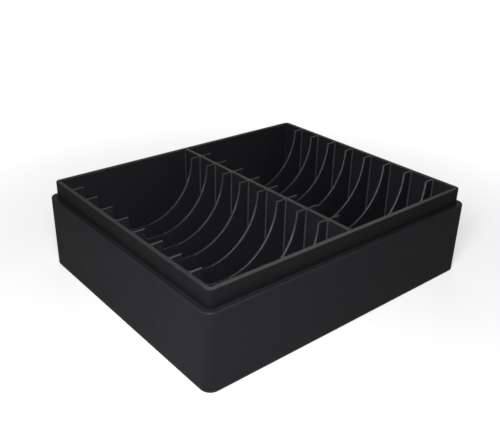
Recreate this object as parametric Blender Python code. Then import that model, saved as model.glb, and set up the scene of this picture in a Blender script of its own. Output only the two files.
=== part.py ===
"""Open coin box: an outer case, an inner sleeve whose rim stands up as the lid's lip, and a lift-out rack.

The rack is a centre divider halved into eight slot ribs, and each rib has two round scallops.
Metres, +Z up. The origin is the centre of the underside, +X runs along the long side.
"""

import math

import bmesh
import bpy

# Driving sizes
BOX_LENGTH = 0.104
BOX_WIDTH = 0.0862
SHOULDER_HEIGHT = 0.0242
LIP_HEIGHT = 0.0053
SLOTS_PER_ROW = 9

# Walls and plates
CASE_WALL = 0.0016
CASE_FLOOR = 0.0018
SLEEVE_WALL = 0.0015
DIVIDER_THICKNESS = 0.0012
RIB_THICKNESS = 0.0008
TAB_LENGTH = 0.00375
WEB_HEIGHT = 0.0073

# Corners and edges
CASE_CORNER_RADIUS = 0.0033
SLEEVE_CORNER_RADIUS = 0.0017
SLEEVE_INNER_RADIUS = 0.0004
CASE_EDGE_ROUND = 0.0004
SLEEVE_EDGE_ROUND = 0.0003
FLARE_RADIUS = 0.0004

# Clearances
SEAT_GAP = 0.0003
RACK_PLAY = 0.0003
LAP_PLAY = 0.0003

# How finely curves are divided, and how they are finished
CORNER_STEPS = 8
EDGE_STEPS = 3
SCALLOP_STEPS = 36
CUTTER_OVERRUN = 0.002
LARGEST_ROUND = 0.4  # the most of a wall's thickness that its edge rounding may take
SHARP_EDGE = math.radians(40)

# Sizes that follow from the ones above
RIM_HEIGHT = SHOULDER_HEIGHT + LIP_HEIGHT
POCKET_CORNER_RADIUS = SLEEVE_CORNER_RADIUS + SEAT_GAP
SLEEVE_INSET = CASE_WALL + SEAT_GAP
SLEEVE_FOOT = CASE_FLOOR + SEAT_GAP
INNER_INSET = SLEEVE_INSET + SLEEVE_WALL
INNER_LENGTH = BOX_LENGTH - 2 * INNER_INSET
INNER_WIDTH = BOX_WIDTH - 2 * INNER_INSET
RACK_FOOT = CASE_FLOOR + RACK_PLAY
RACK_HEIGHT = RIM_HEIGHT - RACK_FOOT
LAP_HEIGHT = RACK_FOOT + RACK_HEIGHT / 2
COMPARTMENT_LENGTH = (INNER_LENGTH - DIVIDER_THICKNESS) / 2
SLOT_WIDTH = (INNER_WIDTH - (SLOTS_PER_ROW - 1) * RIB_THICKNESS) / SLOTS_PER_ROW
SCALLOP_HALF_WIDTH = COMPARTMENT_LENGTH / 2 - TAB_LENGTH
SCALLOP_DEPTH = RACK_HEIGHT - WEB_HEIGHT
SCALLOP_CENTRE = (DIVIDER_THICKNESS + COMPARTMENT_LENGTH) / 2
RIB_GROOVE_HALF = DIVIDER_THICKNESS / 2 + LAP_PLAY


def clear_scene():
    for old in list(bpy.data.objects):
        bpy.data.objects.remove(old, do_unlink=True)


def plastic(name, colour, roughness):
    """A matte black printed plastic."""
    material = bpy.data.materials.new(name)
    material.use_nodes = True
    shader = material.node_tree.nodes["Principled BSDF"]
    shader.inputs["Base Color"].default_value = (*colour, 1.0)
    shader.inputs["Roughness"].default_value = roughness
    shader.inputs["Metallic"].default_value = 0.0
    return material


def empty(name):
    """A parent for the pieces that move together, at the origin."""
    holder = bpy.data.objects.new(name, None)
    bpy.context.scene.collection.objects.link(holder)
    return holder


def add_object(name, mesh, material=None, parent=None):
    piece = bpy.data.objects.new(name, mesh)
    bpy.context.scene.collection.objects.link(piece)
    if material:
        mesh.materials.clear()
        mesh.materials.append(material)
    piece.parent = parent
    return piece


def finished_mesh(bm, name):
    """Closes off a bmesh: normals outwards, smooth faces, sharp edges where the faces turn hard."""
    bmesh.ops.recalc_face_normals(bm, faces=bm.faces)
    mesh = bpy.data.meshes.new(name)
    bm.to_mesh(mesh)
    bm.free()
    mesh.shade_smooth()
    mesh.set_sharp_from_angle(angle=SHARP_EDGE)
    return mesh


def quarter_turn(steps):
    """Angles from 0 to 90 degrees."""
    return [math.pi / 2 * i / steps for i in range(steps + 1)]


def corner_ring(bm, inset, radius, height):
    """A level ring of vertices round the box, its straight sides this far in from the box's sides."""
    half_x = BOX_LENGTH / 2 - inset
    half_y = BOX_WIDTH / 2 - inset
    corners = ((1, 1), (-1, 1), (-1, -1), (1, -1))
    ring = []
    for quarter, (sx, sy) in enumerate(corners):
        for turn in quarter_turn(CORNER_STEPS):
            angle = quarter * math.pi / 2 + turn
            x = sx * (half_x - radius) + radius * math.cos(angle)
            y = sy * (half_y - radius) + radius * math.sin(angle)
            ring.append(bm.verts.new((x, y, height)))
    return ring


def join_rings(bm, first, second):
    count = len(first)
    for i in range(count):
        after = (i + 1) % count
        bm.faces.new((first[i], first[after], second[after], second[i]))


def outer_case(material, parent):
    """Floor and walls up to the shoulder, with a pocket that takes the sleeve."""
    edge = min(CASE_EDGE_ROUND, CASE_WALL * LARGEST_ROUND)
    profile = []
    for turn in quarter_turn(EDGE_STEPS):
        inset = edge * (1 - math.sin(turn))
        profile.append((inset, CASE_CORNER_RADIUS - inset, edge * (1 - math.cos(turn))))
    for turn in quarter_turn(EDGE_STEPS):
        inset = edge * (1 - math.cos(turn))
        height = SHOULDER_HEIGHT - edge * (1 - math.sin(turn))
        profile.append((inset, CASE_CORNER_RADIUS - inset, height))
    profile.append((CASE_WALL, POCKET_CORNER_RADIUS, SHOULDER_HEIGHT))
    profile.append((CASE_WALL, POCKET_CORNER_RADIUS, CASE_FLOOR))

    bm = bmesh.new()
    rings = [corner_ring(bm, *station) for station in profile]
    for lower, upper in zip(rings, rings[1:]):
        join_rings(bm, lower, upper)
    bm.faces.new(rings[0])
    bm.faces.new(rings[-1])
    return add_object("outer_case", finished_mesh(bm, "outer_case"), material, parent)


def inner_sleeve(material, parent):
    """A four-sided liner that stands on the case's floor and rises above its shoulder as the lip."""
    edge = min(SLEEVE_EDGE_ROUND, SLEEVE_WALL * LARGEST_ROUND)
    outer = SLEEVE_INSET
    inner = INNER_INSET
    profile = [(outer, SLEEVE_CORNER_RADIUS, SLEEVE_FOOT)]
    for turn in quarter_turn(EDGE_STEPS):
        inward = edge * (1 - math.cos(turn))
        height = RIM_HEIGHT - edge * (1 - math.sin(turn))
        profile.append((outer + inward, SLEEVE_CORNER_RADIUS - inward, height))
    for turn in quarter_turn(EDGE_STEPS):
        outward = edge * (1 - math.sin(turn))
        height = RIM_HEIGHT - edge * (1 - math.cos(turn))
        profile.append((inner - outward, SLEEVE_INNER_RADIUS + outward, height))
    profile.append((inner, SLEEVE_INNER_RADIUS, SLEEVE_FOOT))

    bm = bmesh.new()
    rings = [corner_ring(bm, *station) for station in profile]
    for this, following in zip(rings, rings[1:] + rings[:1]):
        join_rings(bm, this, following)
    return add_object("inner_sleeve", finished_mesh(bm, "inner_sleeve"), material, parent)


def flare(wall, away, half_thickness):
    """Plan points of the small hollow rounding that widens a plate where it meets a wall.

    It starts on the plate's side and ends on the wall's side. The plate runs from the wall in
    the direction of away, which is 1 or -1.
    """
    points = []
    for turn in quarter_turn(EDGE_STEPS):
        x = wall + away * FLARE_RADIUS * (1 - math.sin(turn))
        y = half_thickness + FLARE_RADIUS * (1 - math.cos(turn))
        points.append((x, y))
    return points


def upright_prism(half_outline, foot, top):
    """A closed solid standing on foot, whose plan is this outline and its mirror image across X."""
    bm = bmesh.new()
    plan = half_outline + [(x, -y) for x, y in reversed(half_outline)]
    face = bm.faces.new([bm.verts.new((x, y, foot)) for x, y in plan])
    raised = bmesh.ops.extrude_face_region(bm, geom=[face])
    corners = [item for item in raised["geom"] if isinstance(item, bmesh.types.BMVert)]
    bmesh.ops.translate(bm, verts=corners, vec=(0, 0, top - foot))
    return bm


def cutter_box(bm, centre, size):
    made = bmesh.ops.create_cube(bm, size=1)
    bmesh.ops.scale(bm, verts=made["verts"], vec=size)
    bmesh.ops.translate(bm, verts=made["verts"], vec=centre)


def scallop_cutter(bm, centre_x, half_depth):
    """A bar whose section is the scallop, a half ellipse under the rim, and open above it."""
    outline = []
    for i in range(SCALLOP_STEPS + 1):
        angle = math.pi * i / SCALLOP_STEPS
        x = centre_x - SCALLOP_HALF_WIDTH * math.cos(angle)
        z = RIM_HEIGHT - SCALLOP_DEPTH * math.sin(angle)
        outline.append((x, z))
    above = RIM_HEIGHT + CUTTER_OVERRUN
    outline.append((centre_x + SCALLOP_HALF_WIDTH, above))
    outline.append((centre_x - SCALLOP_HALF_WIDTH, above))
    face = bm.faces.new([bm.verts.new((x, -half_depth, z)) for x, z in outline])
    drawn = bmesh.ops.extrude_face_region(bm, geom=[face])
    far_end = [item for item in drawn["geom"] if isinstance(item, bmesh.types.BMVert)]
    bmesh.ops.translate(bm, verts=far_end, vec=(0, 2 * half_depth, 0))


def cut_mesh(name, bm, cutter_bm):
    """The blank less the cutter, as a mesh. Both helper objects are removed again."""
    blank = add_object(name + "_blank", finished_mesh(bm, name + "_blank"))
    cutter = add_object(name + "_cutter", finished_mesh(cutter_bm, name + "_cutter"))
    cutter.hide_render = True
    cutter.display_type = "WIRE"
    cut = blank.modifiers.new("cut", "BOOLEAN")
    cut.operation = "DIFFERENCE"
    cut.solver = "EXACT"
    cut.object = cutter
    graph = bpy.context.evaluated_depsgraph_get()
    mesh = bpy.data.meshes.new_from_object(blank.evaluated_get(graph))
    mesh.name = name
    mesh.shade_smooth()
    mesh.set_sharp_from_angle(angle=SHARP_EDGE)
    bpy.data.objects.remove(blank, do_unlink=True)
    bpy.data.objects.remove(cutter, do_unlink=True)
    return mesh


def rib_mesh():
    """A plate the whole length of the box, with two scallops and a groove for the divider."""
    half_thickness = RIB_THICKNESS / 2
    end = INNER_LENGTH / 2 - RACK_PLAY
    left_half = list(reversed(flare(-end, 1, half_thickness)))
    left_half += flare(-RIB_GROOVE_HALF, -1, half_thickness)
    left_half.append((-RIB_GROOVE_HALF, half_thickness))
    right_half = [(-x, y) for x, y in reversed(left_half)]
    blank = upright_prism(left_half + right_half, RACK_FOOT, RIM_HEIGHT)

    half_depth = half_thickness + FLARE_RADIUS + CUTTER_OVERRUN
    cutter = bmesh.new()
    for side in (-1, 1):
        scallop_cutter(cutter, side * SCALLOP_CENTRE, half_depth)
    groove_floor = LAP_HEIGHT - LAP_PLAY / 2
    groove_top = RIM_HEIGHT + CUTTER_OVERRUN
    cutter_box(
        cutter,
        (0, 0, (groove_floor + groove_top) / 2),
        (2 * RIB_GROOVE_HALF, 2 * half_depth, groove_top - groove_floor),
    )
    return cut_mesh("slot_rib", blank, cutter)


def rib_places():
    """The Y of each rib's middle, from the front of the box to the back."""
    pitch = SLOT_WIDTH + RIB_THICKNESS
    first = -INNER_WIDTH / 2 + SLOT_WIDTH + RIB_THICKNESS / 2
    return [first + pitch * i for i in range(SLOTS_PER_ROW - 1)]


def slot_ribs(material, parent):
    mesh = rib_mesh()
    for number, place in enumerate(rib_places(), start=1):
        rib = add_object(f"slot_rib_{number}", mesh, material, parent)
        rib.location.y = place


def centre_divider(material, parent):
    """A plate across the box, drawn along X and turned, with a groove over each rib."""
    half_thickness = DIVIDER_THICKNESS / 2
    end = INNER_WIDTH / 2 - RACK_PLAY
    half_outline = list(reversed(flare(-end, 1, half_thickness)))
    half_outline += flare(end, -1, half_thickness)
    blank = upright_prism(half_outline, RACK_FOOT, RIM_HEIGHT)

    cutter = bmesh.new()
    groove_width = RIB_THICKNESS + 2 * LAP_PLAY
    groove_foot = RACK_FOOT - CUTTER_OVERRUN
    groove_top = LAP_HEIGHT + LAP_PLAY / 2
    for place in rib_places():
        cutter_box(
            cutter,
            (place, 0, (groove_foot + groove_top) / 2),
            (groove_width, DIVIDER_THICKNESS + 2 * CUTTER_OVERRUN, groove_top - groove_foot),
        )
    mesh = cut_mesh("centre_divider", blank, cutter)
    divider = add_object("centre_divider", mesh, material, parent)
    divider.rotation_euler.z = math.pi / 2


def main():
    clear_scene()
    box = empty("box")
    rack = empty("rack")
    outer_case(plastic("case_plastic", (0.020, 0.020, 0.021), 0.55), box)
    inner_sleeve(plastic("sleeve_plastic", (0.020, 0.020, 0.021), 0.50), box)
    centre_divider(plastic("divider_plastic", (0.016, 0.016, 0.017), 0.55), rack)
    slot_ribs(plastic("rib_plastic", (0.014, 0.014, 0.015), 0.60), rack)


main()
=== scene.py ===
# %% [markdown]
# # A coin box in printed black plastic
# The real object is the open base of a box for coin capsules, printed layer by layer in matte
# black plastic. A case with a shoulder holds a liner whose rim stands up as the lip for a lid.
# Inside stands a rack: one divider, and eight thin ribs with a round scallop in each half.
#
# The CAD model is loaded as a fixed frame. Every piece made below stands exactly where its CAD
# piece is, so the joints and the collision shapes of the part keep working.

import math

import bmesh
import bpy
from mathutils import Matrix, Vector


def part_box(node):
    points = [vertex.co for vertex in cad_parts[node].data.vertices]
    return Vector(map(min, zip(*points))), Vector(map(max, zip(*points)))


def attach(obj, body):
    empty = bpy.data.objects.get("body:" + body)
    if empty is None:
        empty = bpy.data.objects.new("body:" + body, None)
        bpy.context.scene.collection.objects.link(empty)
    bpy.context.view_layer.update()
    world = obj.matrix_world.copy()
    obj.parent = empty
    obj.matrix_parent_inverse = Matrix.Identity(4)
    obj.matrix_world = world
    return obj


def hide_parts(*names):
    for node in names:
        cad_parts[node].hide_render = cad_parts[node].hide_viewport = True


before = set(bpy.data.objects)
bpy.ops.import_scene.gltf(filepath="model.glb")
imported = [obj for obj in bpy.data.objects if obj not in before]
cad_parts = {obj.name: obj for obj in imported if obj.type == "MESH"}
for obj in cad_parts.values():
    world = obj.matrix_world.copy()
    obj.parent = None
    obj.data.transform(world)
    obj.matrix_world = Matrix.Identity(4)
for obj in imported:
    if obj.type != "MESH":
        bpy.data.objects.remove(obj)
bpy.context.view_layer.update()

# %% [markdown]
# ## Sizes
# Whatever the CAD boxes can tell is read from them. The wall and plate widths are the ones that
# the printer lays down: plates of two, three and four lines of about 0.4 mm. The height of one
# printed layer is 0.2 mm, which shows in the photograph as small steps low in the scallops.

# %% Sizes, in metres
MM = 0.001
case_low, case_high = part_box("outer_case")
sleeve_low, sleeve_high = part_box("inner_sleeve")
rib_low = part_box("slot_rib_1")[0]
BOX_LENGTH = case_high.x - case_low.x
BOX_WIDTH = case_high.y - case_low.y
SHOULDER = case_high.z
RIM = sleeve_high.z
CASE_FLOOR = 1.8 * MM
SLEEVE_INSET = sleeve_low.x - case_low.x
SLEEVE_WALL = 1.5 * MM
LIP_RADIUS = 1.7 * MM
INNER_INSET = SLEEVE_INSET + SLEEVE_WALL
INNER_LENGTH = BOX_LENGTH - 2 * INNER_INSET
INNER_WIDTH = BOX_WIDTH - 2 * INNER_INSET
DIVIDER_THICKNESS = 1.2 * MM
RIB_THICKNESS = 0.8 * MM
RIB_COUNT = 8
RIB_PITCH = (INNER_WIDTH + RIB_THICKNESS) / (RIB_COUNT + 1)
SCALLOP_HALF_WIDTH = 20.25 * MM
SCALLOP_DEPTH = 20.1 * MM
SCALLOP_CENTRE = (DIVIDER_THICKNESS + INNER_LENGTH) / 4
LAYER = 0.2 * MM
LINE = 0.4 * MM
HAIR_GAP = 0.05 * MM
RACK_FOOT = CASE_FLOOR + HAIR_GAP
LAP = (rib_low.z + RIM) / 2
print("ribs every", round(RIB_PITCH / MM, 3), "mm; scallop centres at", round(SCALLOP_CENTRE / MM, 2), "mm")

# %% [markdown]
# ## The camera
# The camera stands where the photographer's did. Its place, turn and lens were found by fitting
# the box's corners to the outline in the photograph, so the render can be laid over it. The box
# is seen from the front left, a little over a quarter of the way up, and the camera leans by a
# degree or so.

# %% Camera
CAMERA_PLACE = Vector((-0.12910, -0.14896, 0.11493))
CAMERA_BACK = Vector((-0.57735, -0.68253, 0.44813)).normalized()
CAMERA_LEAN = math.radians(1.3607)
CAMERA_LENS = 48.41
CAMERA_SENSOR = 36
NEAREST_SEEN = 0.01


def photo_camera():
    level = (-CAMERA_BACK).cross(Vector((0, 0, 1))).normalized()
    upright = level.cross(-CAMERA_BACK)
    across = math.cos(CAMERA_LEAN) * level + math.sin(CAMERA_LEAN) * upright
    up = math.cos(CAMERA_LEAN) * upright - math.sin(CAMERA_LEAN) * level
    data = bpy.data.cameras.new("photo_camera")
    data.lens = CAMERA_LENS
    data.sensor_width = CAMERA_SENSOR
    data.sensor_fit = "HORIZONTAL"
    data.clip_start = NEAREST_SEEN
    camera = bpy.data.objects.new("photo_camera", data)
    bpy.context.scene.collection.objects.link(camera)
    for row in range(3):
        for column, axis in enumerate((across, up, CAMERA_BACK)):
            camera.matrix_world[row][column] = axis[row]
    camera.location = CAMERA_PLACE
    return camera


bpy.context.scene.camera = photo_camera()
print("camera at", [round(value, 4) for value in bpy.context.scene.camera.location])

# %% [markdown]
# ## Small helpers for node trees
# Materials and Geometry Nodes are both trees of nodes. A few helpers keep them readable. One
# opens a node group with named inputs and outputs, one puts a node in a tree, and the short ones
# after it do sums. An input is given as a plain value, or as the output of another node to link
# from.

# %% Node helpers
SOCKETS = {float: "Float", int: "Int", tuple: "Vector", str: "Material", type(None): "Geometry"}


def open_group(kind, name, inputs, outputs):
    """A new node group. Both maps go from names to values, whose types tell the kinds of socket."""
    tree = bpy.data.node_groups.new(name, kind)
    for names, direction in ((inputs, "INPUT"), (outputs, "OUTPUT")):
        for label, value in names.items():
            sort = SOCKETS[type(value)]
            socket = tree.interface.new_socket(label, in_out=direction, socket_type="NodeSocket" + sort)
            if direction == "INPUT" and sort not in ("Geometry", "Material"):
                socket.default_value = value
    return tree, tree.nodes.new("NodeGroupInput").outputs, tree.nodes.new("NodeGroupOutput")


def feed(tree, node, inputs):
    """Gives a node its inputs. They are named by label or number: values, or outputs to link from."""
    for key, value in inputs.items():
        if isinstance(value, bpy.types.NodeSocket):
            tree.links.new(value, node.inputs[key])
        else:
            node.inputs[key].default_value = value


def put(tree, kind, inputs=None, **settings):
    """A new node with these inputs and settings."""
    made = tree.nodes.new(kind)
    for key, value in settings.items():
        setattr(made, key, value)
    feed(tree, made, inputs or {})
    return made


def get(tree, kind, inputs=None, **settings):
    """The first output of a new node."""
    return put(tree, kind, inputs, **settings).outputs[0]


def calc(tree, operation, *values):
    """The result of a Math node."""
    return get(tree, "ShaderNodeMath", dict(enumerate(values)), operation=operation)


def plus(tree, first, second):
    return calc(tree, "ADD", first, second)


def less(tree, first, second):
    return calc(tree, "SUBTRACT", first, second)


def times(tree, first, *others):
    for other in others:
        first = calc(tree, "MULTIPLY", first, other)
    return first


def over(tree, first, second):
    return calc(tree, "DIVIDE", first, second)


def size_of(tree, value):
    """The value without its sign."""
    return calc(tree, "ABSOLUTE", value)


def mix(tree, factor, first, second):
    """first where the factor is 0, second where it is 1, and a mixture between."""
    return get(tree, "ShaderNodeMix", {0: factor, 2: first, 3: second}, data_type="FLOAT")


def ramp(tree, value, low, high, at_low=0.0, at_high=1.0, **settings):
    """Goes from at_low to at_high while the value goes from low to high, and stays level beyond."""
    limits = {0: value, 1: low, 2: high, 3: at_low, 4: at_high}
    return get(tree, "ShaderNodeMapRange", limits, **settings)


def noise(tree, place, scale, **inputs):
    return get(tree, "ShaderNodeTexNoise", {"Vector": place, "Scale": scale, **inputs})


def vector(tree, x, y, z):
    return get(tree, "ShaderNodeCombineXYZ", {0: x, 1: y, 2: z})


def parts_of(tree, place):
    return put(tree, "ShaderNodeSeparateXYZ", {0: place}).outputs


print("kinds of socket:", ", ".join(SOCKETS.values()))

# %% [markdown]
# ## Finish: the lines of the print
# A printed wall is a stack of rounded beads, so it carries fine level ridges. On a surface that
# faces up or down the beads lie side by side instead, along the walls or slantwise over a floor.
# One shared group gives both: it reads the height for the ridges of a wall, and a distance
# across the beads, which each material works out for its own piece, for the level faces.

# %% Shared group: print lines
BEAD_SHAPE = 3.0
BEAD_UNEVENNESS = 0.6
LEVEL_FROM = 0.75
LEVEL_FULL = 0.97
FLOW_STRETCH = (60.0, 60.0, 2500.0)


def bead(tree, distance, width):
    """A rounded bead profile, 1 on the crown and 0 in the groove, and the number of the bead."""
    along = over(tree, distance, width)
    off_centre = size_of(tree, less(tree, calc(tree, "FRACT", along), 0.5))
    slope = calc(tree, "POWER", times(tree, off_centre, 2.0), BEAD_SHAPE)
    return less(tree, 1.0, slope), calc(tree, "FLOOR", along)


def print_lines_group():
    nowhere, upward = (0.0, 0.0, 0.0), (0.0, 0.0, 1.0)
    inputs = {"Place": nowhere, "Facing": upward, "Across": 0.0, "Layer Height": LAYER, "Line Width": LINE}
    outputs = {"Height": 0.0, "Tone": 0.0, "Level": 0.0}
    tree, given, result = open_group("ShaderNodeTree", "print lines", inputs, outputs)
    facing_up = size_of(tree, parts_of(tree, given["Facing"])[2])
    level = ramp(tree, facing_up, LEVEL_FROM, LEVEL_FULL, interpolation_type="SMOOTHSTEP")
    wall, layer = bead(tree, parts_of(tree, given["Place"])[2], given["Layer Height"])
    top, line = bead(tree, given["Across"], given["Line Width"])
    number = mix(tree, level, layer, line)
    each = put(tree, "ShaderNodeTexWhiteNoise", {"W": number}, noise_dimensions="1D").outputs["Value"]
    drawn_out = get(tree, "ShaderNodeVectorMath", {0: given["Place"], 1: FLOW_STRETCH}, operation="MULTIPLY")
    flow = noise(tree, drawn_out, 1.0, Detail=2.0)
    tone = plus(tree, times(tree, each, 0.5), times(tree, flow, 0.5))
    height = plus(tree, mix(tree, level, wall, top), times(tree, tone, BEAD_UNEVENNESS))
    feed(tree, result, {"Height": height, "Tone": tone, "Level": level})
    return tree


PRINT_LINES = print_lines_group()
print("group:", PRINT_LINES.name, "with", len(PRINT_LINES.nodes), "nodes")

# %% [markdown]
# ## Finish: grain, and wear and painted highlight along the edges
# Matte filament is never quite even. The grain group gives a fine sand for the bump and a soft
# cloud for the tone and the gloss. Handling rubs the rims and edges, which turn a little shinier
# there, and a paler painted highlight goes along them too. The meshes carry a value for both, 1 on
# an edge and 0 on a flat, and a group breaks it up with noise, so that no edge looks drawn with a
# ruler.

# %% Shared groups: grain, and wear with painted highlight
GRAIN_SIZE = 0.12 * MM
CLOUD_SCALE = 140.0
PATCH_SCALE = 420.0
PATCH_FROM = 0.30
PATCH_FULL = 0.70
PATCH_LEAST = 0.55


def grain_group():
    inputs = {"Place": (0.0, 0.0, 0.0), "Grain Size": GRAIN_SIZE}
    outputs = {"Height": 0.0, "Cloud": 0.0}
    tree, given, result = open_group("ShaderNodeTree", "plastic grain", inputs, outputs)
    sand = noise(tree, given["Place"], over(tree, 1.0, given["Grain Size"]), Detail=3.0, Roughness=0.6)
    cloud = noise(tree, given["Place"], CLOUD_SCALE, Detail=4.0, Roughness=0.55)
    feed(tree, result, {"Height": sand, "Cloud": cloud})
    return tree


# The mask says where the edges are worn and where their paler painted highlight goes.
def wear_and_highlight_group():
    inputs = {"Place": (0.0, 0.0, 0.0), "Wear And Highlight": 0.0, "Amount": 1.0}
    tree, given, result = open_group("ShaderNodeTree", "edge wear and highlight", inputs, {"Mask": 0.0})
    patches = noise(tree, given["Place"], PATCH_SCALE, Detail=4.0, Roughness=0.7)
    broken = ramp(tree, patches, PATCH_FROM, PATCH_FULL, PATCH_LEAST, 1.0)
    feed(tree, result, {"Mask": times(tree, given["Wear And Highlight"], broken, given["Amount"])})
    return tree


GRAIN = grain_group()
WEAR_AND_HIGHLIGHT = wear_and_highlight_group()
print("groups:", GRAIN.name, "and", WEAR_AND_HIGHLIGHT.name)

# %% [markdown]
# ## The five black plastics
# All pieces are the same filament, but each is printed its own way, so each has a material of
# its own. The case has loops along its shoulder and slanting lines on its floor. The lip's loops
# run round its rim. The divider and the ribs are so thin that a rim shows only two or three
# lines along the plate. First come the rules that tell, for each piece, how far across its lines
# a place is.

# %% Lines on each piece
SHOULDER_BAND = 1 * MM


def slanting(tree, place):
    """Distance across lines that run at 45 degrees over a floor."""
    return times(tree, plus(tree, place[0], place[1]), math.sqrt(0.5))


def along_walls(tree, place):
    """Distance in from the nearest outer wall, so that lines follow the walls."""
    from_end = less(tree, BOX_LENGTH / 2, size_of(tree, place[0]))
    from_side = less(tree, BOX_WIDTH / 2, size_of(tree, place[1]))
    return calc(tree, "MINIMUM", from_end, from_side)


def case_lines(tree, place):
    """Loops on the shoulder, slanting lines on the floor and the underside."""
    on_shoulder = calc(tree, "COMPARE", place[2], SHOULDER, SHOULDER_BAND)
    return mix(tree, on_shoulder, slanting(tree, place), along_walls(tree, place))


def divider_lines(tree, place):
    return plus(tree, place[0], DIVIDER_THICKNESS / 2)


def rib_lines(tree, place):
    """Lines along each rib, counted from its own face."""
    first_face = plus(tree, place[1], RIB_PITCH * (RIB_COUNT - 1) / 2 + RIB_THICKNESS / 2)
    return calc(tree, "WRAP", first_face, RIB_PITCH, 0.0)


print("lines in a rib:", round(RIB_THICKNESS / LINE), "and in the divider:", round(DIVIDER_THICKNESS / LINE))

# %% [markdown]
# Two things are told by place alone: a painted shade darkens the lip's outside, and a painted
# sheen makes the rim's flat top palest along the front left.

# %% Painted shade and sheen told by place
# A painted shade on the lip's outside, and a painted sheen along the rim's flat top.
PAINTED_LIP_SHADE = 0.55
RIM_FRONT_PAINTED_SHEEN = 0.82
RIM_LEAST_PAINTED_SHEEN = 0.26
RIM_FADE = 2.5 * MM
FRONT_FADE_START = 0.2 * BOX_LENGTH
FRONT_FADE_END = 0.48 * BOX_LENGTH


def rim_painted_sheen(tree, place):
    """How much painted sheen and polish the rim gets: most along its front, less towards its right end, and
    least on the other three sides.
    """
    from_front = plus(tree, place[1], BOX_WIDTH / 2)
    front = ramp(tree, place[0], FRONT_FADE_START, FRONT_FADE_END, RIM_FRONT_PAINTED_SHEEN, RIM_LEAST_PAINTED_SHEEN)
    return ramp(tree, from_front, INNER_INSET, INNER_INSET + RIM_FADE, front, RIM_LEAST_PAINTED_SHEEN)


def lip_painted_shade(tree, place, level):
    """A painted shade on the lip's upright outside: a factor for its tone."""
    outside = calc(tree, "LESS_THAN", along_walls(tree, place), SLEEVE_INSET + SLEEVE_WALL / 2)
    upright = times(tree, outside, less(tree, 1.0, level))
    return mix(tree, upright, 1.0, PAINTED_LIP_SHADE)


print("rim wear from", RIM_FRONT_PAINTED_SHEEN, "at the front to", RIM_LEAST_PAINTED_SHEEN)

# %% [markdown]
# One function then makes all five. Colour, gloss and bump all come from the shared groups. A
# worn edge goes towards a grey that is a painted highlight, and takes on a thin polish, which is
# a coat over the matte plastic.
# The thin ribs are polished most, the corners between plates least. In those corners the beads
# bulge most, so that material has the deepest ridges.

# %% Plastic materials
BLACK = (0.0134, 0.0134, 0.0162)
DARKEST = 0.82
PALEST = 1.20
EDGE_BLUE = 1.08
CLOUD_SHARE = 0.6
TONE_SHARE = 0.5
SHADE_LOW = 0.2
SHADE_HIGH = 0.9
ROUGHNESS_SPREAD = 0.06
SHEEN = 0.25
PLASTIC_IOR = 1.46
POLISH_IOR = 1.5
POLISH_ROUGHNESS = 0.32
RIDGE_DEPTH = 0.006 * MM
CORNER_RIDGE_DEPTH = 0.030 * MM
SAND_DEPTH = 0.004 * MM


def blend(tree, factor, first, second, **settings):
    """A mixture of two colours."""
    colours = {0: factor, 6: first, 7: second}
    return put(tree, "ShaderNodeMix", colours, data_type="RGBA", **settings).outputs[2]


def rough(tree, depth, height, **inputs):
    return get(tree, "ShaderNodeBump", {"Strength": 1.0, "Distance": depth, "Height": height, **inputs})


def plastic(name, across, roughness, wear_and_highlight_tone, edge_coat, ridge_depth=RIDGE_DEPTH,
            wear_and_highlight_by=None, painted_shade_by=None):
    """Black printed plastic. Worn edges go towards a grey painted highlight and get edge_coat of polish."""
    material = bpy.data.materials.new(name)
    material.use_nodes = True
    tree = material.node_tree
    here = put(tree, "ShaderNodeTexCoord").outputs
    place = parts_of(tree, here["Object"])
    line_inputs = {"Place": here["Object"], "Facing": here["Normal"], "Across": across(tree, place)}
    lines = put(tree, "ShaderNodeGroup", line_inputs, node_tree=PRINT_LINES).outputs
    grain = put(tree, "ShaderNodeGroup", {"Place": here["Object"]}, node_tree=GRAIN).outputs
    edge_wear_and_highlight = put(tree, "ShaderNodeAttribute", attribute_name="edge_wear_and_highlight").outputs["Fac"]
    wear_and_highlight_inputs = {"Place": here["Object"], "Wear And Highlight": edge_wear_and_highlight}
    if wear_and_highlight_by:
        wear_and_highlight_inputs["Amount"] = wear_and_highlight_by(tree, place)
    # Where the edges are worn and painted with a highlight.
    wear_and_highlight_mask = get(tree, "ShaderNodeGroup", wear_and_highlight_inputs, node_tree=WEAR_AND_HIGHLIGHT)
    shade = plus(tree, times(tree, grain["Cloud"], CLOUD_SHARE), times(tree, lines["Tone"], TONE_SHARE))
    dark, pale = (tuple(share * value for value in BLACK) + (1.0,) for share in (DARKEST, PALEST))
    black = blend(tree, shade, dark, pale)
    # A painted shade darkens the tone where the caller gives one.
    if painted_shade_by:
        factor = painted_shade_by(tree, place, lines["Level"])
        black = blend(tree, 1.0, black, factor, blend_type="MULTIPLY")
    rougher, smoother = roughness + ROUGHNESS_SPREAD, roughness - ROUGHNESS_SPREAD
    ridges = rough(tree, ridge_depth, lines["Height"])
    # Where the mask is high the colour goes to the grey of the painted highlight, and the coat polishes.
    feed(tree, tree.nodes["Principled BSDF"], {
        "Base Color": blend(tree, wear_and_highlight_mask, black, (wear_and_highlight_tone, wear_and_highlight_tone, EDGE_BLUE * wear_and_highlight_tone, 1.0)),
        "Roughness": ramp(tree, shade, SHADE_LOW, SHADE_HIGH, rougher, smoother),
        "IOR": PLASTIC_IOR,
        "Specular IOR Level": SHEEN,
        "Coat Weight": times(tree, wear_and_highlight_mask, edge_coat),
        "Coat Roughness": POLISH_ROUGHNESS,
        "Coat IOR": POLISH_IOR,
        "Normal": rough(tree, SAND_DEPTH, grain["Height"], Normal=ridges),
    })
    return material


# Each edge tone below is the grey of the painted highlight along worn edges.
case_black = plastic("case_black", case_lines, roughness=0.60, wear_and_highlight_tone=0.026, edge_coat=0.55)
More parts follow.
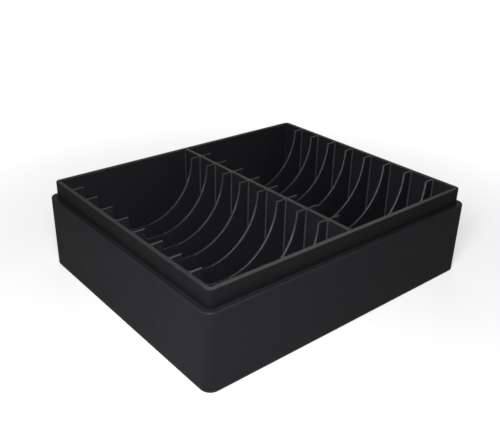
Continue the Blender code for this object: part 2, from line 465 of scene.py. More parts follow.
# The lip gets a painted sheen on its rim and a painted shade on its outside.
lip_black = plastic(
    "lip_black", along_walls, roughness=0.58, wear_and_highlight_tone=0.036, edge_coat=0.75,
    wear_and_highlight_by=rim_painted_sheen, painted_shade_by=lip_painted_shade,
)
divider_black = plastic("divider_black", divider_lines, roughness=0.56, wear_and_highlight_tone=0.036, edge_coat=0.8)
rib_black = plastic("rib_black", rib_lines, roughness=0.56, wear_and_highlight_tone=0.165, edge_coat=1.0)
corner_black = plastic(
    "corner_black", rib_lines, roughness=0.50, wear_and_highlight_tone=0.060, edge_coat=0.5,
    ridge_depth=CORNER_RIDGE_DEPTH,
)
blacks = (case_black, lip_black, divider_black, rib_black, corner_black)
print("materials:", [black.name for black in blacks])

# %% [markdown]
# ## The case and the lip
# Both go round the box in one rounded rectangle, so both are lofted: level rings of points are
# stacked along a profile and joined. A ring needs only how far in it lies, its corner radius and
# its height. Each ring also says how worn it is and how much painted highlight it takes, which
# the material reads later.

# %% Loft helpers
CORNER_STEPS = 14
EDGE_STEPS = 5
SHARP = math.radians(35)
QUARTER_TURN = math.pi / 2
CORNERS = ((1, 1), (-1, 1), (-1, -1), (1, -1))


def quarter(steps):
    """Angles from 0 to 90 degrees."""
    return [QUARTER_TURN * step / steps for step in range(steps + 1)]


def ring_points(inset, radius, height):
    points = []
    for turns, (side_x, side_y) in enumerate(CORNERS):
        middle_x = side_x * (BOX_LENGTH / 2 - inset - radius)
        middle_y = side_y * (BOX_WIDTH / 2 - inset - radius)
        for angle in quarter(CORNER_STEPS):
            angle += turns * QUARTER_TURN
            points.append((middle_x + radius * math.cos(angle), middle_y + radius * math.sin(angle), height))
    return points


def lofted(name, stations, endless, material, slot, body, node):
    """A mesh through rings (inset, radius, height, wear and painted highlight). endless joins the last ring
    to the first.
    """
    shell = bmesh.new()
    edge_wear_and_highlight = shell.verts.layers.float.new("edge_wear_and_highlight")
    rings = []
    for inset, radius, height, wear_and_highlight in stations:
        ring = [shell.verts.new(place) for place in ring_points(inset, radius, height)]
        for point in ring:
            point[edge_wear_and_highlight] = wear_and_highlight
        rings.append(ring)
    for lower, upper in zip(rings, rings[1:] + rings[:1] if endless else rings[1:]):
        for number, point in enumerate(lower):
            after = (number + 1) % len(lower)
            shell.faces.new((point, lower[after], upper[after], upper[number]))
    if not endless:
        shell.faces.new(rings[0])
        shell.faces.new(rings[-1])
    bmesh.ops.recalc_face_normals(shell, faces=shell.faces)
    mesh = bpy.data.meshes.new(name)
    shell.to_mesh(mesh)
    shell.free()
    return dressed(name, mesh, material, slot, body, node)


def dressed(name, mesh, material, slot, body, *nodes):
    """The finished piece: its material, its body and the CAD nodes it stands for. Its record slot is not
    used.
    """
    mesh.shade_smooth()
    mesh.set_sharp_from_angle(angle=SHARP)
    mesh.materials.clear()
    mesh.materials.append(material)
    piece = bpy.data.objects.new(name, mesh)
    bpy.context.scene.collection.objects.link(piece)
    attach(piece, body)
    if nodes:
        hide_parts(*nodes)
    triangles = sum(len(face.vertices) - 2 for face in mesh.polygons)
    print(name, "has", triangles, "triangles and rides on", body)
    return piece


print("points in a ring:", len(CORNERS) * (CORNER_STEPS + 1))

# %% [markdown]
# ### Outer case
# A tray with soft upright corners, a small rounding at its foot and a tighter one along its
# shoulder. Both roundings carry a painted highlight, and the one along the shoulder shows as a thin
# pale line, from its rounding and its painted highlight together. The pocket inside takes the liner
# with only a hair of a gap, because on the real one no gap shows.

# %% Outer case
CASE_RADIUS = 3.3 * MM
CASE_EDGE = 0.4 * MM
SHOULDER_EDGE = 0.25 * MM
FOOT_FADE = 0.5 * MM
FADE_BELOW_SHOULDER = 0.2 * MM
FADE_ON_SHOULDER = 0.35 * MM
POCKET_INSET = SLEEVE_INSET - HAIR_GAP
POCKET_RADIUS = LIP_RADIUS + HAIR_GAP


# The last number of a station is its wear and painted highlight, 1 on both roundings.
def case_stations():
    stations = []
    for angle in quarter(EDGE_STEPS):
        inset = CASE_EDGE * (1 - math.sin(angle))
        stations.append((inset, CASE_RADIUS - inset, CASE_EDGE * (1 - math.cos(angle)), 1.0))
    stations.append((0.0, CASE_RADIUS, CASE_EDGE + FOOT_FADE, 0.0))
    stations.append((0.0, CASE_RADIUS, SHOULDER - SHOULDER_EDGE - FADE_BELOW_SHOULDER, 0.0))
    for angle in quarter(EDGE_STEPS):
        inset = SHOULDER_EDGE * (1 - math.cos(angle))
        height = SHOULDER - SHOULDER_EDGE * (1 - math.sin(angle))
        stations.append((inset, CASE_RADIUS - inset, height, math.sin(angle)))
    inset = SHOULDER_EDGE + FADE_ON_SHOULDER
    stations.append((inset, CASE_RADIUS - inset, SHOULDER, 0.0))
    stations.append((POCKET_INSET, POCKET_RADIUS, SHOULDER, 0.0))
    stations.append((POCKET_INSET, POCKET_RADIUS, CASE_FLOOR, 0.0))
    return stations


lofted("case_shell", case_stations(), False, case_black, "case_plastic", "box", "outer_case")

# %% [markdown]
# ### Inner sleeve
# A four-sided liner that stands on the floor of the case. Its upper end is the lip, and both
# edges of the rim are rounded by a fifth of a millimetre. The rim is a band with a brighter line
# along its outer edge, from wear and a painted highlight, so these are given for three places
# across it.

# %% Inner sleeve
LIP_INNER_RADIUS = 0.4 * MM
LIP_EDGE = 0.2 * MM
LIP_FADE = 0.6 * MM
SLEEVE_FOOT = CASE_FLOOR + HAIR_GAP
# Wear and painted highlight at three places across the rim, brightest at its outer edge.
RIM_WEAR_AND_HIGHLIGHT = [(0.4 * MM, 1.0), (0.7 * MM, 0.6), (1.25 * MM, 0.6)]


def sleeve_stations():
    stations = [(SLEEVE_INSET, LIP_RADIUS, height, 0.0) for height in (SLEEVE_FOOT, RIM - LIP_FADE)]
    for angle in quarter(EDGE_STEPS):
        inward = LIP_EDGE * (1 - math.cos(angle))
        height = RIM - LIP_EDGE * (1 - math.sin(angle))
        stations.append((SLEEVE_INSET + inward, LIP_RADIUS - inward, height, math.sin(angle)))
    for inward, wear_and_highlight in RIM_WEAR_AND_HIGHLIGHT:
        radius = LIP_RADIUS + inward / SLEEVE_WALL * (LIP_INNER_RADIUS - LIP_RADIUS)
        stations.append((SLEEVE_INSET + inward, radius, RIM, wear_and_highlight))
    for angle in quarter(EDGE_STEPS):
        outward = LIP_EDGE * (1 - math.sin(angle))
        height = RIM - LIP_EDGE * (1 - math.cos(angle))
        stations.append((INNER_INSET - outward, LIP_INNER_RADIUS + outward, height, math.cos(angle)))
    stations += [(INNER_INSET, LIP_INNER_RADIUS, height, 0.0) for height in (RIM - LIP_FADE, SLEEVE_FOOT)]
    return stations


lofted("lip_sleeve", sleeve_stations(), True, lip_black, "sleeve_plastic", "box", "inner_sleeve")

# %% [markdown]
# ## Plates by Geometry Nodes
# The divider and the ribs are flat plates whose outline follows a rule, and the ribs repeat, so
# Geometry Nodes make them. First come the steps that the trees share. An outline is drawn flat
# in X and Y: it is a list of stretches of points, which are numbered one after another, joined by
# one closed line, and filled.

# %% Geometry helpers
STRETCH_NUMBERS = 1000.0
WELD = 0.001 * MM


def joined(tree, pieces):
    node = tree.nodes.new("GeometryNodeJoinGeometry")
    for piece in pieces:
        tree.links.new(piece, node.inputs[0])
    return node.outputs[0]


def moved(tree, geometry, **inputs):
    return get(tree, "GeometryNodeSetPosition", {"Geometry": geometry, **inputs})


def turned(tree, geometry, *angles):
    return get(tree, "GeometryNodeTransform", {"Geometry": geometry, "Rotation": angles})


def stored(tree, geometry, name, value, domain, chosen=True):
    """The geometry with a value stored under this name."""
    inputs = {"Geometry": geometry, "Selection": chosen, "Name": name, "Value": value}
    return get(tree, "GeometryNodeStoreNamedAttribute", inputs, data_type="FLOAT", domain=domain)


def stored_value(tree, name):
    return get(tree, "GeometryNodeInputNamedAttribute", {"Name": name}, data_type="FLOAT")


def grown(tree, mesh, climb, chosen=True):
    """The outputs of an extrusion straight up."""
    inputs = {"Mesh": mesh, "Selection": chosen, "Offset": vector(tree, 0.0, 0.0, climb), "Individual": False}
    return put(tree, "GeometryNodeExtrudeMesh", inputs, mode="FACES").outputs


def corner(tree, x, y):
    """A stretch of only one point."""
    return get(tree, "GeometryNodePoints", {"Count": 1, "Position": vector(tree, x, y, 0.0)})


def filled(tree, stretches):
    """One closed line through all stretches of points, filled."""
    index = get(tree, "GeometryNodeInputIndex")
    numbered = []
    for number, points in enumerate(stretches):
        order = plus(tree, index, STRETCH_NUMBERS * number)
        numbered.append(stored(tree, points, "order", order, "POINT"))
    inputs = {"Points": joined(tree, numbered), "Weight": stored_value(tree, "order")}
    line = get(tree, "GeometryNodePointsToCurves", inputs)
    closed = get(tree, "GeometryNodeSetSplineCyclic", {"Geometry": line, "Cyclic": True})
    return get(tree, "GeometryNodeFillCurve", {"Curve": closed}, mode="NGONS")


def with_base(tree, extruded, base):
    """Extrusion carries the first face away, so a flipped copy of it closes the open end."""
    flipped = get(tree, "GeometryNodeFlipFaces", {"Mesh": base})
    both = joined(tree, (flipped, extruded))
    return get(tree, "GeometryNodeMergeByDistance", {"Geometry": both, "Distance": WELD})


def whole_and_rest(tree, number, size):
    """How many times size goes into a whole number, and what is left. A quarter guards the rounding."""
    whole = calc(tree, "FLOOR", over(tree, plus(tree, number, 0.25), size))
    return whole, less(tree, number, times(tree, whole, size))


def row_of(tree, given, piece):
    """A copy of the piece for every rib, and the place of the first one along the row."""
    first = times(tree, less(tree, given["Count"], 1.0), given["Pitch"], -0.5)
    start, step = vector(tree, 0.0, first, 0.0), vector(tree, 0.0, given["Pitch"], 0.0)
    line = {"Count": given["Count"], "Start Location": start, "Offset": step}
    copies = {"Points": get(tree, "GeometryNodeMeshLine", line), "Instance": piece}
    return get(tree, "GeometryNodeInstanceOnPoints", copies), first


def real(tree, geometry):
    """Copies turned into a mesh, because the export drops instances."""
    return get(tree, "GeometryNodeRealizeInstances", {"Geometry": geometry})


def painted(tree, given, geometry):
    return get(tree, "GeometryNodeSetMaterial", {"Geometry": geometry, "Material": given["Material"]})


print("each stretch of an outline may have", int(STRETCH_NUMBERS), "points")

# %% [markdown]
# The thickness group extrudes the outline in seven steps. At each step the new face is moved
# along "Inward", a direction that the caller gives for every point, so both edges of the plate
# come out rounded. A longer direction takes more off the edge. The strip made this way is
# marked for wear and painted highlight, with one value each for the first edge, the middle and
# the last edge. The flat sides of the plate get neither.

# %% Shared group: rounded plate
PLATE_EDGE_STEPS = 3
ROUNDING_STEPS = [(1 - math.cos(angle), 1 - math.sin(angle)) for angle in quarter(PLATE_EDGE_STEPS)]


def rounded_plate_group():
    inputs = {
        "Face": None, "Thickness": 1 * MM, "Rounding": 0.1 * MM, "Inward": (0.0, 0.0, 0.0),
        "First Wear And Highlight": 1.0, "Middle Wear And Highlight": 0.3, "Last Wear And Highlight": 1.0,
    }
    tree, given, result = open_group("GeometryNodeTree", "rounded plate", inputs, {"Plate": None})
    thickness, rounding = given["Thickness"], given["Rounding"]
    kept = put(tree, "GeometryNodeCaptureAttribute", {"Geometry": given["Face"]}, domain="POINT")
    kept.capture_items.new("VECTOR", "Inward")
    feed(tree, kept, {"Inward": given["Inward"]})

    def inset(geometry, chosen, amount):
        inputs = {0: kept.outputs["Inward"], "Scale": amount}
        shift = get(tree, "ShaderNodeVectorMath", inputs, operation="SCALE")
        return moved(tree, geometry, Selection=chosen, Offset=shift)

    down = vector(tree, 0.0, 0.0, times(tree, thickness, -0.5))
    lowered = {"Geometry": kept.outputs["Geometry"], "Translation": down}
    mesh = base = inset(get(tree, "GeometryNodeTransform", lowered), True, rounding)
    rising = ROUNDING_STEPS + [(-height, inward) for height, inward in reversed(ROUNDING_STEPS)]
    top = True
    for number, ((low, low_inset), (high, high_inset)) in enumerate(zip(rising, rising[1:])):
        climb = times(tree, rounding, high - low)
        # Each strip gets its value for wear and painted highlight.
        wear_and_highlight = given["First Wear And Highlight"] if number < PLATE_EDGE_STEPS else given["Last Wear And Highlight"]
        if number == PLATE_EDGE_STEPS:
            climb = plus(tree, thickness, times(tree, rounding, -2.0))
            wear_and_highlight = given["Middle Wear And Highlight"]
        raised = grown(tree, mesh, climb, top)
        top = raised["Top"]
        marked = stored(tree, raised["Mesh"], "edge_wear_and_highlight", wear_and_highlight, "FACE", chosen=raised["Side"])
        mesh = inset(marked, top, times(tree, rounding, high_inset - low_inset))
    feed(tree, result, {"Plate": with_base(tree, mesh, base)})
    return tree


ROUNDED_PLATE = rounded_plate_group()
print("group:", ROUNDED_PLATE.name, "with", len(ROUNDED_PLATE.nodes), "nodes")


# %% Turning a tree into a plain mesh
def baked(name, tree, **values):
    """The mesh that a Geometry Nodes tree makes from these inputs. Underscores stand for spaces."""
    holder = bpy.data.objects.new(name + "_holder", bpy.data.meshes.new(name + "_holder"))
    bpy.context.scene.collection.objects.link(holder)
    modifier = holder.modifiers.new(name, "NODES")
    modifier.node_group = tree
    numbers = {item.name: item.identifier for item in tree.interface.items_tree if item.in_out == "INPUT"}
    for label, value in values.items():
        modifier[numbers[label.replace("_", " ").title()]] = value
    graph = bpy.context.evaluated_depsgraph_get()
    finished = holder.evaluated_get(graph)
    mesh = bpy.data.meshes.new_from_object(finished, preserve_all_data_layers=True, depsgraph=graph)
    mesh.name = name
    bpy.data.objects.remove(holder, do_unlink=True)
    print(tree.name, "with", len(tree.nodes), "nodes made", len(mesh.polygons), "faces")
    return mesh


# %% [markdown]
# ### Slot ribs
# Each rib is a plate the whole length of the box with two scallops, and a groove for the
# divider. A printer can't draw a smooth curve: it can only start and stop each layer in the
# right place. So the scallop is drawn as the printer does it, one bead per 0.2 mm layer, with
# the bead's end where the curve is at that height. Near the bottom, where the curve is almost
# level, the steps get long enough to see, as they do in the photograph. Plastic flows a little,
# so each end follows the curve partly.

# %% Scallops
POINTS_PER_BEAD = 3.0
BEAD_BULGE = 0.02 * MM
STAIR = 0.4


def scallop_points(tree, given, centre):
    """The beads down one side of a scallop and up the other. A bead has a top, a middle and a foot."""
    layers = calc(tree, "FLOOR", over(tree, given["Scallop Depth"], given["Layer Height"]))
    count = times(tree, layers, POINTS_PER_BEAD, 2.0)
    index = get(tree, "GeometryNodeInputIndex")
    from_end = less(tree, less(tree, count, 1.0), index)
    side = calc(tree, "SIGN", less(tree, from_end, index))
    layer, part = whole_and_rest(tree, calc(tree, "MINIMUM", index, from_end), POINTS_PER_BEAD)
    down_bead = times(tree, part, 0.5)
    level = mix(tree, STAIR, down_bead, 0.5)
    depth = times(tree, plus(tree, layer, level), given["Layer Height"])
    share = calc(tree, "POWER", over(tree, depth, given["Scallop Depth"]), 2.0)
    reach = times(tree, given["Scallop Half Width"], calc(tree, "SQRT", less(tree, 1.0, share)))
    bulge = times(tree, size_of(tree, less(tree, part, 1.0)), BEAD_BULGE)
    x = less(tree, centre, times(tree, side, plus(tree, reach, bulge)))
    z = less(tree, given["Rim"], times(tree, plus(tree, layer, down_bead), given["Layer Height"]))
    points = get(tree, "GeometryNodePoints", {"Count": count})
    return moved(tree, points, Position=vector(tree, x, z, 0.0))


print("layers in a scallop:", int(SCALLOP_DEPTH / LAYER))

# %% [markdown]
# The nozzle is round, and turns back at the end of each bead, so a scallop's edge is nearly a
# half round, while the tops stay almost flat.

# %% Rounding of the ribs
TIP_ROUNDING = 0.34 * MM
TOP_EDGE_SHARE = 0.25
TOP_EDGE = 0.02 * MM
SCALLOP_LIMIT = 1.01


def along_scallop(tree, given, x):
    """Where a place is along its scallop, from -1 at the left end to 1 at the right."""
    centre = times(tree, calc(tree, "SIGN", x), given["Scallop Centre"])
    return over(tree, less(tree, x, centre), given["Scallop Half Width"])


def above(tree, height, rim, depth):
    """1 where a height is less than this depth under the rim, and 0 elsewhere."""
    return calc(tree, "GREATER_THAN", height, less(tree, rim, depth))


def inward_on_rib(tree, given):
    """Into the plate: out from the scallop's centre on a scallop, and a little down on the top edges."""
    here = parts_of(tree, get(tree, "GeometryNodeInputPosition"))
    x = along_scallop(tree, given, here[0])
    z = over(tree, less(tree, here[1], given["Rim"]), given["Scallop Depth"])
    radial = get(tree, "ShaderNodeVectorMath", {0: vector(tree, x, z, 0.0)}, operation="NORMALIZE")
    near = calc(tree, "LESS_THAN", size_of(tree, x), SCALLOP_LIMIT)
    on_scallop = times(tree, near, calc(tree, "GREATER_THAN", z, -1.0))
    out = get(tree, "ShaderNodeVectorMath", {0: radial, "Scale": on_scallop}, operation="SCALE")
    down = times(tree, above(tree, here[1], given["Rim"], TOP_EDGE), -TOP_EDGE_SHARE)
    return get(tree, "ShaderNodeVectorMath", {0: out, 1: vector(tree, 0.0, down, 0.0)}, operation="ADD")


print("edge of a scallop rounded by", round(TIP_ROUNDING / MM, 2), "mm")

# %% [markdown]
# Capsules slide in and out along these edges and polish them, and a paler painted highlight goes
# with the polish: most on the edge that faces front, where the right flank gets steep, and on the
# front ribs; least on the left flank and close to the divider. The bead ends stick out and take
# more of both than the level treads between them, so the lowest part of a scallop shows as an
# uneven line.

# %% Wear and painted highlight of the ribs
# How much polish and painted highlight each part of a rib gets.
REAR_EDGE_WEAR_AND_HIGHLIGHT = 0.15
BETWEEN_EDGES_WEAR_AND_HIGHLIGHT = 0.12
TOP_WEAR_AND_HIGHLIGHT = 0.4
TOP_BAND = 0.1 * MM
FAR_FLANK_WEAR_AND_HIGHLIGHT = 0.03
START_WEAR_AND_HIGHLIGHT = 0.38
STEEP = 0.93
FLANK_CURVE = 2.2
END_TURN = 0.06
TREAD_WEAR_AND_HIGHLIGHT = 0.2
LAST_RIB_WEAR_AND_HIGHLIGHT = 0.5
DIVIDER_SIDE_WEAR_AND_HIGHLIGHT = 0.4
DIVIDER_SIDE_START = 4.4 * MM
DIVIDER_SIDE_END = 5.8 * MM


def rib_wear_and_highlight(tree, given, first):
    """The plate's wear and painted highlight, made less by place. first is where the front rib stands."""
    here = parts_of(tree, get(tree, "GeometryNodeInputPosition"))
    along = along_scallop(tree, given, here[0])
    steep = ramp(tree, along, 0.0, STEEP)
    lowest = ramp(tree, along, -1.0, 0.0, FAR_FLANK_WEAR_AND_HIGHLIGHT, START_WEAR_AND_HIGHLIGHT)
    flank = mix(tree, calc(tree, "POWER", steep, FLANK_CURVE), lowest, 1.0)
    facing_along = size_of(tree, parts_of(tree, get(tree, "GeometryNodeInputNormal"))[0])
    bead_end = ramp(tree, facing_along, 0.0, END_TURN, TREAD_WEAR_AND_HIGHLIGHT, 1.0)
    at_rim = above(tree, here[2], given["Rim"], TOP_BAND)
    share = mix(tree, at_rim, times(tree, flank, bead_end), TOP_WEAR_AND_HIGHLIGHT)
    by_rib = ramp(tree, here[1], first, times(tree, first, -1.0), 1.0, LAST_RIB_WEAR_AND_HIGHLIGHT)
    from_divider = size_of(tree, here[0])
    by_side = ramp(tree, from_divider, DIVIDER_SIDE_START, DIVIDER_SIDE_END, DIVIDER_SIDE_WEAR_AND_HIGHLIGHT, 1.0)
    return times(tree, stored_value(tree, "edge_wear_and_highlight"), times(tree, share, by_rib, by_side))


print("scallop wear from", FAR_FLANK_WEAR_AND_HIGHLIGHT, "on the left flank to 1 on the right")

# %% [markdown]
# The tree draws one rib, gives it its thickness, turns it upright and repeats it in a row. Then
# every bead ends a hair early or late, which a fine noise decides.

# %% Slot ribs
BEAD_WOBBLE = 0.06 * MM
BEAD_SEED = 3.0
WOBBLE_SCALE = 4000.0


def slot_ribs_tree():
    inputs = {
        "Length": 0.1, "Foot": 0.0, "Rim": 0.03, "Thickness": 1 * MM, "Rounding": 0.1 * MM,
        "Layer Height": LAYER, "Scallop Half Width": 0.02, "Scallop Depth": 0.02, "Scallop Centre": 0.025,
        "Groove Half Width": 1 * MM, "Groove Floor": 0.015, "Count": 8, "Pitch": 0.01,
        "Wobble": 0.02 * MM, "Seed": 1.0, "Material": "material",
    }
    tree, given, result = open_group("GeometryNodeTree", "slot ribs", inputs, {"Ribs": None})
    foot, rim = given["Foot"], given["Rim"]
    centre, groove = given["Scallop Centre"], given["Groove Half Width"]
    half, minus_half = times(tree, given["Length"], 0.5), times(tree, given["Length"], -0.5)
    minus_groove = times(tree, groove, -1.0)
    plate = get(tree, "GeometryNodeGroup", {
        "Face": filled(tree, [
            corner(tree, minus_half, foot),
            corner(tree, minus_half, rim),
            scallop_points(tree, given, times(tree, centre, -1.0)),
            corner(tree, minus_groove, rim),
            corner(tree, minus_groove, given["Groove Floor"]),
            corner(tree, groove, given["Groove Floor"]),
            corner(tree, groove, rim),
            scallop_points(tree, given, centre),
            corner(tree, half, rim),
            corner(tree, half, foot),
        ]),
        "Thickness": given["Thickness"],
        "Rounding": given["Rounding"],
        "Inward": inward_on_rib(tree, given),
        "First Wear And Highlight": REAR_EDGE_WEAR_AND_HIGHLIGHT,
        "Middle Wear And Highlight": BETWEEN_EDGES_WEAR_AND_HIGHLIGHT,
    }, node_tree=ROUNDED_PLATE)
    copies, first = row_of(tree, given, turned(tree, plate, QUARTER_TURN, 0.0, 0.0))
    place = get(tree, "GeometryNodeInputPosition")
    spots = {"Vector": place, "W": given["Seed"], "Scale": WOBBLE_SCALE, "Detail": 1.0}
    late = less(tree, get(tree, "ShaderNodeTexNoise", spots, noise_dimensions="4D"), 0.5)
    shift = vector(tree, times(tree, late, given["Wobble"]), 0.0, 0.0)
    shaken = moved(tree, real(tree, copies), Offset=shift)
    marked = stored(tree, shaken, "edge_wear_and_highlight", rib_wear_and_highlight(tree, given, first), "FACE")
    feed(tree, result, {"Ribs": painted(tree, given, marked)})
    return tree


ribs_mesh = baked(
    "slot_ribs", slot_ribs_tree(), length=INNER_LENGTH - 2 * HAIR_GAP, foot=RACK_FOOT, rim=RIM,
    thickness=RIB_THICKNESS, rounding=TIP_ROUNDING, layer_height=LAYER,
    scallop_half_width=SCALLOP_HALF_WIDTH, scallop_depth=SCALLOP_DEPTH, scallop_centre=SCALLOP_CENTRE,
    groove_half_width=DIVIDER_THICKNESS / 2 + HAIR_GAP, groove_floor=LAP - HAIR_GAP / 2,
    count=RIB_COUNT, pitch=RIB_PITCH, wobble=BEAD_WOBBLE, seed=BEAD_SEED, material=rib_black,
)
rib_nodes = [f"slot_rib_{number}" for number in range(1, RIB_COUNT + 1)]
dressed("slot_ribs", ribs_mesh, rib_black, "rib_plastic", "rack", *rib_nodes)

# %% [markdown]
# ### Centre divider
# One plate across the box. The ribs pass through it by half laps: it has a groove from below
# over each rib, so its outline is a comb. The comb's rule is simple: four points for each
# groove, and the same thickness group as for the ribs makes the plate.

# %% Centre divider
POINTS_PER_GROOVE = 4.0
DIVIDER_ROUNDING = 0.18 * MM


def comb_points(tree, given):
    """Up one side of every groove and down the other."""
    points = get(tree, "GeometryNodePoints", {"Count": times(tree, given["Count"], POINTS_PER_GROOVE)})
    index = get(tree, "GeometryNodeInputIndex")
    groove, point = whole_and_rest(tree, index, POINTS_PER_GROOVE)
    off_middle = less(tree, point, (POINTS_PER_GROOVE - 1) / 2)
    middle = times(tree, less(tree, given["Count"], 1.0), 0.5)
    centre = times(tree, less(tree, groove, middle), given["Pitch"])
    x = plus(tree, centre, times(tree, calc(tree, "SIGN", off_middle), given["Groove Half Width"]))
    inner = calc(tree, "LESS_THAN", size_of(tree, off_middle), 1.0)
    z = mix(tree, inner, given["Foot"], given["Groove Top"])
    return moved(tree, points, Position=vector(tree, x, z, 0.0))


def divider_tree():
    inputs = {
        "Length": 0.08, "Foot": 0.0, "Rim": 0.03, "Thickness": 1 * MM, "Rounding": 0.1 * MM,
        "Groove Half Width": 1 * MM, "Groove Top": 0.015, "Count": 8, "Pitch": 0.01,
        "Material": "material",
    }
    tree, given, result = open_group("GeometryNodeTree", "centre divider", inputs, {"Divider": None})
    foot, rim = given["Foot"], given["Rim"]
    half, minus_half = times(tree, given["Length"], 0.5), times(tree, given["Length"], -0.5)
    height = parts_of(tree, get(tree, "GeometryNodeInputPosition"))[1]
    plate = get(tree, "GeometryNodeGroup", {
        "Face": filled(tree, [
            corner(tree, minus_half, foot),
            comb_points(tree, given),
            corner(tree, half, foot),
            corner(tree, half, rim),
            corner(tree, minus_half, rim),
        ]),
        "Thickness": given["Thickness"],
        "Rounding": given["Rounding"],
        "Inward": vector(tree, 0.0, times(tree, above(tree, height, rim, TOP_EDGE), -1.0), 0.0),
    }, node_tree=ROUNDED_PLATE)
    upright = turned(tree, plate, QUARTER_TURN, 0.0, QUARTER_TURN)
    feed(tree, result, {"Divider": painted(tree, given, real(tree, upright))})
    return tree


divider_mesh = baked(
    "rack_divider", divider_tree(), length=INNER_WIDTH - 2 * HAIR_GAP, foot=RACK_FOOT, rim=RIM,
    thickness=DIVIDER_THICKNESS, rounding=DIVIDER_ROUNDING, groove_half_width=RIB_THICKNESS / 2 + HAIR_GAP,
    groove_top=LAP + HAIR_GAP / 2, count=RIB_COUNT, pitch=RIB_PITCH, material=divider_black,
)
dressed("rack_divider", divider_mesh, divider_black, "divider_plastic", "rack", "centre_divider")

# %% [markdown]
# ### Corner fillets
# A nozzle can't turn a sharp inner corner: it leaves a small hollow fillet wherever two plates
# meet. These upright fillets catch the light, and a paler painted highlight on them adds to it, as
# the thin pale lines beside the divider and at the walls. One fillet is made once and repeated:
# four around every crossing, two at both ends of every rib, and two at both ends of the divider.

# %% Corner fillets
FILLET_STEPS = 6
FILLET_RADIUS = 0.35 * MM
FILLET_SINK = 0.04 * MM
BELOW_RIM = 0.02 * MM
WALL_BAND = 1 * MM
# Near the walls the fillets get half their painted highlight.
WALL_WEAR_AND_HIGHLIGHT = 0.5


def fillets_tree():
    inputs = {
        "Radius": 0.3 * MM, "Sink": 0.05 * MM, "Foot": 0.0, "Height": 0.02, "Half Divider": 1 * MM,
        "Half Rib": 1 * MM, "Rib End": 0.05, "Divider End": 0.04, "Count": 8, "Pitch": 0.01,
        "Material": "material",
    }
    tree, given, result = open_group("GeometryNodeTree", "corner fillets", inputs, {"Fillets": None})
    radius = given["Radius"]
    sunk = times(tree, given["Sink"], -1.0)
    arc = get(tree, "GeometryNodePoints", {"Count": FILLET_STEPS + 1})
    angle = times(tree, get(tree, "GeometryNodeInputIndex"), QUARTER_TURN / FILLET_STEPS)
    x, y = (times(tree, radius, less(tree, 1.0, calc(tree, wave, angle))) for wave in ("SINE", "COSINE"))
    base = filled(tree, [
        moved(tree, arc, Position=vector(tree, x, y, 0.0)),
        corner(tree, sunk, radius),
        corner(tree, sunk, sunk),
        corner(tree, radius, sunk),
    ])
    post = with_base(tree, grown(tree, base, given["Height"])["Mesh"], base)

    def four(x, y):
        """The post in all four corners around the middle of something."""
        posts = []
        for turns, (side_x, side_y) in enumerate(CORNERS):
            place = vector(tree, times(tree, x, side_x), times(tree, y, side_y), given["Foot"])
            inputs = {"Geometry": post, "Translation": place, "Rotation": (0.0, 0.0, turns * QUARTER_TURN)}
            posts.append(get(tree, "GeometryNodeTransform", inputs))
        return posts

    half_divider, half_rib, end = given["Half Divider"], given["Half Rib"], given["Divider End"]
    at_rib = four(half_divider, half_rib) + four(times(tree, given["Rib End"], -1.0), half_rib)
    copies = row_of(tree, given, joined(tree, at_rib))[0]
    every = joined(tree, [copies] + four(half_divider, times(tree, end, -1.0)))
    across_box = size_of(tree, parts_of(tree, get(tree, "GeometryNodeInputPosition"))[1])
    wear_and_highlight = mix(tree, above(tree, across_box, end, WALL_BAND), 1.0, WALL_WEAR_AND_HIGHLIGHT)
    marked = stored(tree, real(tree, every), "edge_wear_and_highlight", wear_and_highlight, "POINT")
    feed(tree, result, {"Fillets": painted(tree, given, marked)})
    return tree


fillets_mesh = baked(
    "corner_fillets", fillets_tree(), radius=FILLET_RADIUS, sink=FILLET_SINK, foot=RACK_FOOT,
    height=RIM - RACK_FOOT - BELOW_RIM, half_divider=DIVIDER_THICKNESS / 2, half_rib=RIB_THICKNESS / 2,
    rib_end=INNER_LENGTH / 2 - HAIR_GAP, divider_end=INNER_WIDTH / 2 - HAIR_GAP, count=RIB_COUNT,
    pitch=RIB_PITCH, material=corner_black,
)
dressed("corner_fillets", fillets_mesh, corner_black, "rib_plastic", "rack")

# %% [markdown]
# ## Floor and light
# Most of the light comes from one small soft lamp beside the camera and above it. That shows in
# three ways: the inside is evenly lit, the corner nearest the camera is the brightest, and every
# edge that is turned to the camera shines. Two weak lamps at the sides keep the far ends of the
# outer walls from going dark, and a low one by the left wall lights its near end, as a pale table
# would. A wide, weak lamp behind the box gives the level rims their sheen. The floor and the
# world are white only where the camera sees them, straight or through something clear, so their
# white adds no light to the black plastic. The floor still takes a soft shadow near the box.

# %% Floor
WHITE = (1.0, 1.0, 1.0, 1.0)
FLOOR_SIZE = 8.0
FLOOR_GREY = 0.55
FLOOR_ROUGHNESS = 0.9
GLOW_NEAR = 0.62
GLOW_FAR = 1.0
GLOW_START = 0.06
GLOW_END = 0.22


def seen_by_camera(tree):
    """1 where the camera looks straight or through something clear, 0 for the light on the box."""
    path = put(tree, "ShaderNodeLightPath").outputs
    return calc(tree, "MAXIMUM", path["Is Camera Ray"], path["Is Transmission Ray"])


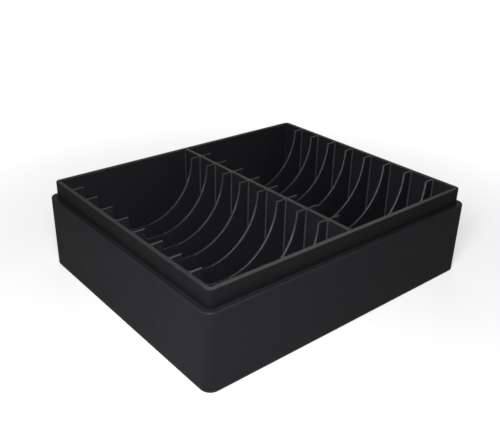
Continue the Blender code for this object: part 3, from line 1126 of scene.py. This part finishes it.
def white_floor():
    bpy.ops.mesh.primitive_plane_add(size=FLOOR_SIZE, location=(0, 0, -HAIR_GAP))
    floor = bpy.context.object
    floor.name = "floor"
    material = bpy.data.materials.new("white_floor")
    material.use_nodes = True
    tree = material.node_tree
    here = put(tree, "ShaderNodeTexCoord").outputs["Object"]
    away = put(tree, "ShaderNodeVectorMath", {0: here}, operation="LENGTH").outputs["Value"]
    glow = ramp(tree, away, GLOW_START, GLOW_END, GLOW_NEAR, GLOW_FAR, interpolation_type="SMOOTHSTEP")
    feed(tree, tree.nodes["Principled BSDF"], {
        "Base Color": (FLOOR_GREY, FLOOR_GREY, FLOOR_GREY, 1.0),
        "Roughness": FLOOR_ROUGHNESS,
        "Emission Color": WHITE,
        "Emission Strength": times(tree, seen_by_camera(tree), glow),
    })
    floor.data.materials.append(material)
    return floor


white_floor()
print("floor:", FLOOR_SIZE, "m across, grey", FLOOR_GREY)

# %% World and lamps
WORLD_LEVEL = 0.04
BACKDROP = 1.0
KEY_LEVEL = 0.71
LOW_LEVEL = 0.05
LEFT_LEVEL = 0.10
RIGHT_LEVEL = 0.09
BEHIND_LEVEL = 0.18
AIM = Vector((0, 0, 0.02))


def pale_world():
    """A dim grey that lights the box, and the white backdrop, which only the camera sees."""
    world = bpy.data.worlds.new("pale_world")
    world.use_nodes = True
    tree = world.node_tree
    tree.nodes.clear()
    light = get(tree, "ShaderNodeBackground", {"Color": WHITE, "Strength": WORLD_LEVEL})
    white = get(tree, "ShaderNodeBackground", {"Color": WHITE, "Strength": BACKDROP})
    either = get(tree, "ShaderNodeMixShader", {0: seen_by_camera(tree), 1: light, 2: white})
    put(tree, "ShaderNodeOutputWorld", {"Surface": either})
    bpy.context.scene.world = world


def soft_lamp(name, azimuth, elevation, distance, size, level):
    """A square lamp. At a level of 1, a white card that faces it at the box shows as white."""
    around, up = math.radians(azimuth), math.radians(elevation)
    toward = Vector((math.cos(around) * math.cos(up), math.sin(around) * math.cos(up), math.sin(up)))
    data = bpy.data.lights.new(name, "AREA")
    data.shape = "SQUARE"
    data.size = size
    data.energy = level * math.pi ** 2 * distance ** 2
    lamp = bpy.data.objects.new(name, data)
    bpy.context.scene.collection.objects.link(lamp)
    lamp.visible_camera = False
    lamp.location = distance * toward
    lamp.rotation_euler = (AIM - lamp.location).to_track_quat("-Z", "Y").to_euler()
    return lamp


pale_world()
soft_lamp("lamp_by_camera", azimuth=223, elevation=41, distance=0.20, size=0.05, level=KEY_LEVEL)
low_lamp = soft_lamp("lamp_low", azimuth=196, elevation=3, distance=0.125, size=0.05, level=LOW_LEVEL)
low_lamp.visible_glossy = False
soft_lamp("lamp_left", azimuth=170, elevation=20, distance=0.4, size=0.2, level=LEFT_LEVEL)
soft_lamp("lamp_right", azimuth=300, elevation=30, distance=0.5, size=0.3, level=RIGHT_LEVEL)
soft_lamp("lamp_behind", azimuth=50, elevation=30, distance=1.0, size=0.8, level=BEHIND_LEVEL)
bpy.context.scene.view_settings.view_transform = "Standard"
